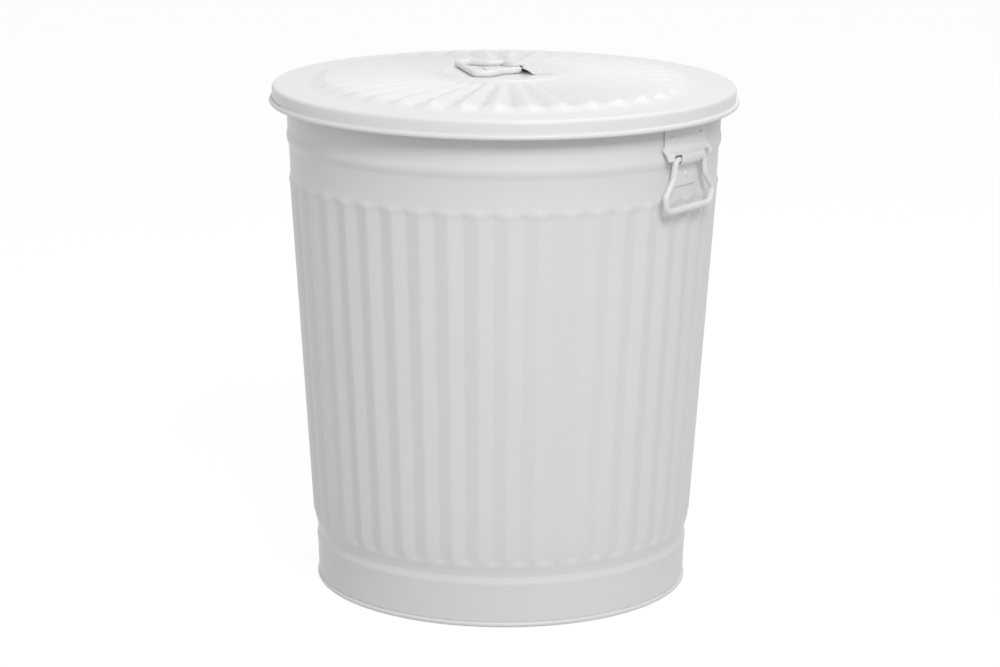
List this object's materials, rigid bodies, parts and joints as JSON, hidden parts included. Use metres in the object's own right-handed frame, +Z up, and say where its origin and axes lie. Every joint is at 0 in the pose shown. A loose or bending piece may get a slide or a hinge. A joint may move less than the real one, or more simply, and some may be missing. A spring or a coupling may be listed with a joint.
{
  "type": "trash can with lid",
  "caption": "Round fluted sheet-steel trash can with a rolled rim, two drop handles and a loose ribbed lid with its own handle.",
  "frame": {"origin": "centre of the foot on the floor, on the can's upright axis", "axes": "+Z up along the can's axis; +X through the right drop handle, -X through the left one"},
  "size_m": [0.4099, 0.41, 0.4622],
  "materials": {
    "body_coat": "satin white powder coat on fluted sheet steel",
    "hoop_coat": "satin white powder coat",
    "pan_coat": "satin white powder coat",
    "lid_coat": "satin white powder coat on ribbed sheet steel",
    "bracket_coat": "satin white powder coat",
    "wire_coat": "satin white powder coat on bent wire",
    "rivet_coat": "satin white powder coat"
  },
  "bodies": {
    "bin": {"body_shell": "body_coat", "foot_hoop": "hoop_coat", "bottom_pan": "pan_coat", "right_handle_bracket": "bracket_coat", "right_handle_bracket_rivets": "rivet_coat", "left_handle_bracket": "bracket_coat", "left_handle_bracket_rivets": "rivet_coat"},
    "lid": {"lid_shell": "lid_coat", "lid_handle_bracket": "bracket_coat", "lid_handle_bracket_rivets": "rivet_coat"},
    "right_bail": {"right_handle": "wire_coat"},
    "left_bail": {"left_handle": "wire_coat"},
    "lid_bail": {"lid_handle": "wire_coat"}
  },
  "joints": [
    {"name": "lid_lift", "type": "slide", "parent": "bin", "child": "lid", "axis": [0, 0, 1], "range_m": [0, 0.45]},
    {"name": "right_handle_swing", "type": "hinge", "parent": "bin", "child": "right_bail", "pos_m": [0.1931, 0, 0.3996], "axis": [0, -1, 0], "range_deg": [0, 105]},
    {"name": "left_handle_swing", "type": "hinge", "parent": "bin", "child": "left_bail", "pos_m": [-0.1931, 0, 0.3996], "axis": [0, 1, 0], "range_deg": [0, 105]},
    {"name": "lid_handle_swing", "type": "hinge", "parent": "lid", "child": "lid_bail", "pos_m": [0.00504, 0.00622, 0.45805], "axis": [-0.7771, 0.6293, 0], "range_deg": [0, 105]}
  ]
}
